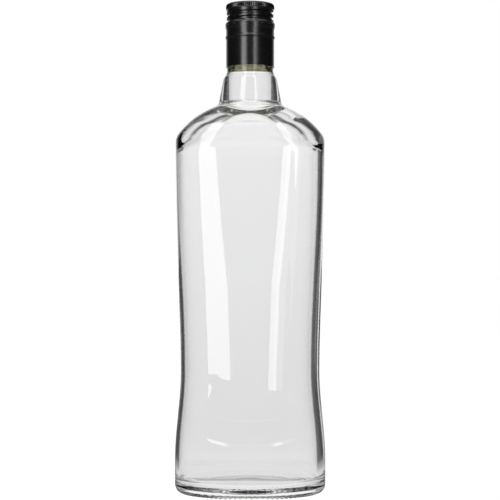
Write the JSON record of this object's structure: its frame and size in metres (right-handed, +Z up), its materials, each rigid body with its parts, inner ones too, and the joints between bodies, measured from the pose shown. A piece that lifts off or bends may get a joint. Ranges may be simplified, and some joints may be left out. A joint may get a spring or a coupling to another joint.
{
  "type": "screw-top bottle",
  "caption": "Clear glass bottle with a waisted oval body, sloped shoulders and a black roll-on aluminium screw cap over a long tamper band.",
  "frame": {"origin": "centre of the flat ring that the bottle stands on, on the axis of the neck", "axes": "+Z up along the neck; +X along the width of the body; -Y towards the viewer, out of one of the two broad faces"},
  "size_m": [0.0984, 0.0654, 0.3202],
  "materials": {
    "clear_glass": "clear flint glass, fire polished",
    "black_lacquered_aluminium": "gloss black lacquer outside, gold lacquer inside",
    "liner_foam": "soft foamed polyethylene sealing disc"
  },
  "bodies": {
    "glass_bottle": {"bottle": "clear_glass", "tamper_band": "black_lacquered_aluminium"},
    "seal": {"liner": "liner_foam"},
    "cap": {"cap_shell": "black_lacquered_aluminium"}
  },
  "joints": [
    {"name": "cap_lift", "type": "slide", "parent": "glass_bottle", "child": "seal", "axis": [0, 0, 1], "range_m": [0, 0.01815]},
    {"name": "cap_turn", "type": "hinge", "parent": "seal", "child": "cap", "pos_m": [0, 0, 0.31], "axis": [0, 0, 1], "range_deg": [0, 1800]}
  ],
  "couplings": [
    {"joint": "cap_lift", "follows": "cap_turn", "m_per_rad": 0.00057773}
  ]
}
